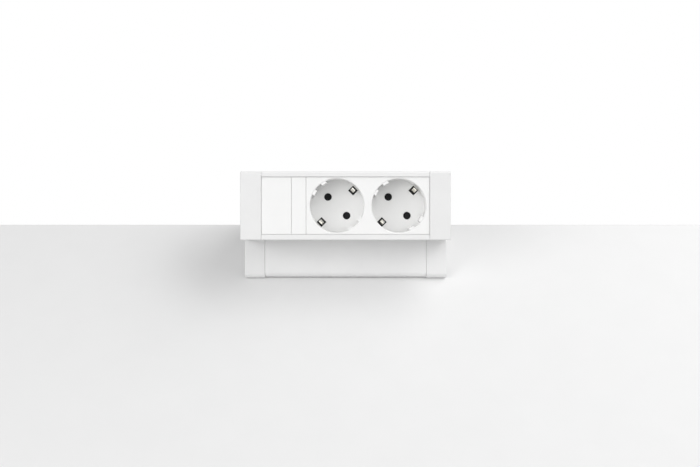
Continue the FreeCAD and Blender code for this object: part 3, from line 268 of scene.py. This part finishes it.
def striped_insulation(name, base, stripe):
    """Two-colour earth insulation: a stripe of the second colour along the lead."""
    m = Nodes(name)
    bands = m.add("ShaderNodeTexWave", bands_direction="X")
    bands.inputs["Scale"].default_value = 130.0
    bands.inputs["Distortion"].default_value = 0.6
    m.link(m.place, bands.inputs["Vector"])
    body = m.mix(m.ramp(bands.outputs["Fac"], 0.0, 1.0, 0.46, 0.54), base, stripe)
    m.link(m.mix(m.ramp(m.noise(300.0), 0.0, 0.25, 0.4, 0.7), body, base), m.shader.inputs["Base Color"])
    m.link(m.ramp(m.noise(1800.0), 0.38, 0.52), m.shader.inputs["Roughness"])
    m.bump([(m.noise(1200.0), 1e-5)], LEAD_SOFT_EDGE)
    return m.material


MATERIALS = {
    "white_powder_coat": painted("powder_coat", (0.86, 0.86, 0.857), (0.83, 0.83, 0.83), 0.40, 4e-6, 8e-6,
                                 drawn=3e-6),
    "white_cap": painted("cap_paint", (0.84, 0.84, 0.838), (0.81, 0.81, 0.81), 0.42, 5e-6, 1e-5),
    "white_plastic": painted("socket_plastic", (0.92, 0.92, 0.915), (0.90, 0.90, 0.895), 0.32, 3e-6, 3e-6,
                             edge=0.0003),
    "white_steel": painted("bracket_coat", (0.80, 0.80, 0.80), (0.76, 0.76, 0.76), 0.46, 8e-6, 1.6e-5),
    "carrier_plastic": painted("carrier_plastic", (0.030, 0.030, 0.032), (0.040, 0.040, 0.042), 0.55,
                               8e-6, 6e-6, spec=0.25),
    "shutter_plastic": painted("shutter_plastic", (0.012, 0.012, 0.013), (0.018, 0.018, 0.019), 0.6,
                               4e-6, 4e-6, spec=0.15),
    "black_plastic": painted("black_nylon", (0.020, 0.020, 0.022), (0.028, 0.028, 0.030), 0.52, 1.6e-5, 1e-5),
    "block_plastic": painted("block_nylon", (0.62, 0.61, 0.56), (0.57, 0.56, 0.51), 0.5, 5e-6, 4e-6),
    "brass": metal("brass_strip", (0.72, 0.52, 0.22), (0.60, 0.42, 0.18), 0.30, (1.0, 0.1, 0.1)),
    "nickel": metal("nickel_strip", (0.80, 0.79, 0.75), (0.72, 0.69, 0.60), 0.20, (0.1, 0.1, 1.0)),
    "spring_steel": metal("spring_wire", (0.50, 0.50, 0.51), (0.42, 0.42, 0.43), 0.30),
    "zinc_steel": metal("zinc_plate", (0.62, 0.63, 0.65), (0.50, 0.51, 0.53), 0.34, scale=500.0),
    "black_rubber": rubber("pad_rubber", (0.016, 0.016, 0.017), (0.026, 0.026, 0.026)),
    "insulation_brown": rubber("brown_insulation", (0.10, 0.035, 0.015), (0.13, 0.05, 0.02), 0.45),
    "insulation_blue": rubber("blue_insulation", (0.015, 0.06, 0.32), (0.02, 0.08, 0.38), 0.45),
    "insulation_green": striped_insulation("earth_insulation", (0.08, 0.26, 0.02), (0.70, 0.58, 0.03)),
}


def dress_nodes():
    """Gives every CAD node the material of its slot."""
    for part in frame["record"]["subparts"]:
        node = NODES[part["node"]]
        node.data.materials.clear()
        node.data.materials.append(MATERIALS[part["material_slot"]])


dress_nodes()


# ---------------------------------------------------------------- detailed pieces

def mesh_object(name, vertices, faces, smooth=False):
    mesh = bpy.data.meshes.new(name)
    mesh.from_pydata(vertices, [], faces)
    mesh.update()
    if smooth:
        mesh.polygons.foreach_set("use_smooth", [True] * len(mesh.polygons))
    thing = bpy.data.objects.new(name, mesh)
    bpy.context.scene.collection.objects.link(thing)
    return thing


def lathe(name, rings, centre, segments, lobe=None):
    """Closed body of revolution about a vertical axis; rings are (radius, z) from bottom to top.

    lobe(angle, index) scales a ring's radius, for a shape that isn't round.
    """
    vertices = [Vector((centre.x, centre.y, rings[0][1]))]
    for index, (radius, z) in enumerate(rings):
        for step in range(segments):
            angle = 2 * pi * step / segments
            reach = radius * (lobe(angle, index) if lobe else 1.0)
            vertices.append(Vector((centre.x + reach * cos(angle), centre.y + reach * sin(angle), z)))
    vertices.append(Vector((centre.x, centre.y, rings[-1][1])))
    faces = []
    for step in range(segments):
        ahead = (step + 1) % segments
        faces.append((0, 1 + ahead, 1 + step))
        for index in range(len(rings) - 1):
            low = 1 + index * segments
            high = low + segments
            faces.append((low + step, low + ahead, high + ahead, high + step))
        last = 1 + (len(rings) - 1) * segments
        faces.append((last + step, last + ahead, len(vertices) - 1))
    return mesh_object(name, vertices, faces, smooth=True)


def finish_piece(piece, body, slot, node):
    """Says what a detailed piece rides on, stands for and is made of."""
    piece.data.materials.append(MATERIALS[slot])
    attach(piece, body)
    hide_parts(node)


def threaded_screw():
    """The clamp screw with a real 1.25 mm thread between its knob and its collar."""
    low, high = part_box("clamp_screw")
    centre = Vector(((low[0] + high[0]) / 2, (low[1] + high[1]) / 2, 0))
    collar_r = (high[0] - low[0]) / 2
    rod_r = collar_r - COLLAR_STEP
    root_r = rod_r - THREAD_DEPTH
    knob_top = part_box("clamp_knob")[1][2]
    collar_low = high[2] - COLLAR_H
    thread_low = knob_top - THREAD_IN_KNOB
    thread_high = collar_low - THREAD_TO_COLLAR
    turns = (thread_high - thread_low) / THREAD_PITCH
    count = int(turns * THREAD_STEPS)

    rings = [(rod_r * SCREW_TIP_SHARE, low[2]), (root_r, low[2] + SCREW_BURIED), (root_r, thread_low)]
    start = len(rings)
    rings += [(rod_r, thread_low + THREAD_PITCH * i / THREAD_STEPS) for i in range(1, count)]
    stop = len(rings)
    rings += [(root_r, thread_high), (root_r, collar_low - COLLAR_NECK),
              (collar_r - COLLAR_ROUND, collar_low), (collar_r, collar_low + COLLAR_ROUND),
              (collar_r, high[2] - COLLAR_ROUND), (collar_r - COLLAR_ROUND, high[2])]

    def thread(angle, index):
        if not start <= index < stop:
            return 1.0
        phase = ((index - start) / THREAD_STEPS - angle / (2 * pi)) % 1.0
        rise = max(0.0, min(1.0, abs(phase - 0.5) * THREAD_FLANK - THREAD_ROOT))
        ends = min(1.0, (index - start) / THREAD_STEPS, (stop - 1 - index) / THREAD_STEPS)
        return 1.0 - THREAD_DEPTH / rod_r * (1.0 - (1.0 - rise) * ends)

    screw = lathe("clamp_screw_threaded", rings, centre, THREAD_SEGMENTS, thread)
    finish_piece(screw, "clamp_screw", "zinc_steel", "clamp_screw")


def lobed_knob():
    """The clamp knob: six soft lobes, a rounded rim, a raised hub on top and a dished underside."""
    low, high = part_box("clamp_knob")
    centre = Vector(((low[0] + high[0]) / 2, (low[1] + high[1]) / 2, 0))
    radius = (high[1] - low[1]) / 2
    height = high[2] - low[2]
    rings = [(radius * share, low[2] + height * level) for share, level in KNOB_OUTLINE]

    def lobes(angle, index):
        share = KNOB_OUTLINE[index][0]
        depth = LOBE_DEPTH * max(0.0, (share - LOBE_START) / (1.0 - LOBE_START))
        wave = 0.5 - 0.5 * cos(KNOB_LOBES * angle)
        return 1.0 - depth * (1.0 - wave) ** LOBE_SHARPNESS

    knob = lathe("clamp_knob_lobed", rings, centre, KNOB_SEGMENTS, lobes)
    finish_piece(knob, "clamp_screw", "black_plastic", "clamp_knob")


threaded_screw()
lobed_knob()


# ---------------------------------------------------------------- stage, camera and light

def add_desk():
    """Pale desk top whose far edge meets the rubber strip on the clamp bracket."""
    x = DESK_WIDTH / 2
    y1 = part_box("edge_pad")[0][1]
    y0 = y1 - DESK_DEPTH
    corners = [(-x, y0), (x, y0), (x, y1), (-x, y1)]
    vertices = [(a, b, z) for z in (-DESK_T, 0.0) for a, b in corners]
    faces = [(3, 2, 1, 0), (4, 5, 6, 7)] + [(i, (i + 1) % 4, (i + 1) % 4 + 4, i + 4) for i in range(4)]
    slab = mesh_object("desk", vertices, faces)
    laminate = painted("desk_top", (0.80, 0.80, 0.80), (0.79, 0.79, 0.79), 0.6, 1e-6, 2e-6, spec=0.2)
    slab.data.materials.append(laminate)


def add_camera():
    data = bpy.data.cameras.new("camera")
    data.lens = CAMERA_FOCAL
    data.sensor_width = CAMERA_SENSOR
    data.clip_start = CAMERA_CLIP
    camera = bpy.data.objects.new("camera", data)
    bpy.context.scene.collection.objects.link(camera)
    middle = Vector((0, LEFT.y, LEFT.z)) + NORMAL * LIP_ABOVE_INSERT
    aim = middle + ALONG * AIM_RIGHT - UP_FACE * AIM_BELOW
    turn = Matrix((ALONG, UP_FACE, NORMAL)).transposed()
    camera.matrix_world = Matrix.Translation(aim + NORMAL * CAMERA_DISTANCE) @ turn.to_4x4()
    bpy.context.scene.camera = camera


def area_light(name, place, size, power):
    """A square soft box that faces the strip."""
    data = bpy.data.lights.new(name, "AREA")
    data.shape = "SQUARE"
    data.size = size
    data.energy = power
    light = bpy.data.objects.new(name, data)
    bpy.context.scene.collection.objects.link(light)
    light.location = place
    light.rotation_mode = "QUATERNION"
    light.rotation_quaternion = (LIT_POINT - Vector(place)).to_track_quat("-Z", "Y")


def add_lights():
    for name, place, size, power in SOFT_BOXES:
        area_light(name, place, size, power)


def add_world():
    """White surroundings: dimmer as a light than as a backdrop."""
    world = bpy.data.worlds.new("studio")
    world.use_nodes = True
    tree = world.node_tree
    tree.nodes.clear()
    out = tree.nodes.new("ShaderNodeOutputWorld")
    seen = tree.nodes.new("ShaderNodeBackground")
    seen.inputs["Strength"].default_value = BACKDROP_LIGHT
    lit = tree.nodes.new("ShaderNodeBackground")
    lit.inputs["Strength"].default_value = SURROUNDINGS_LIGHT
    pick = tree.nodes.new("ShaderNodeMixShader")
    path = tree.nodes.new("ShaderNodeLightPath")
    tree.links.new(path.outputs["Is Camera Ray"], pick.inputs[0])
    tree.links.new(lit.outputs[0], pick.inputs[1])
    tree.links.new(seen.outputs[0], pick.inputs[2])
    tree.links.new(pick.outputs[0], out.inputs[0])
    for node in (seen, lit):
        node.inputs["Color"].default_value = (1, 1, 1, 1)
    bpy.context.scene.world = world


add_desk()
add_camera()
add_lights()
add_world()
bpy.context.scene.view_settings.view_transform = "Standard"
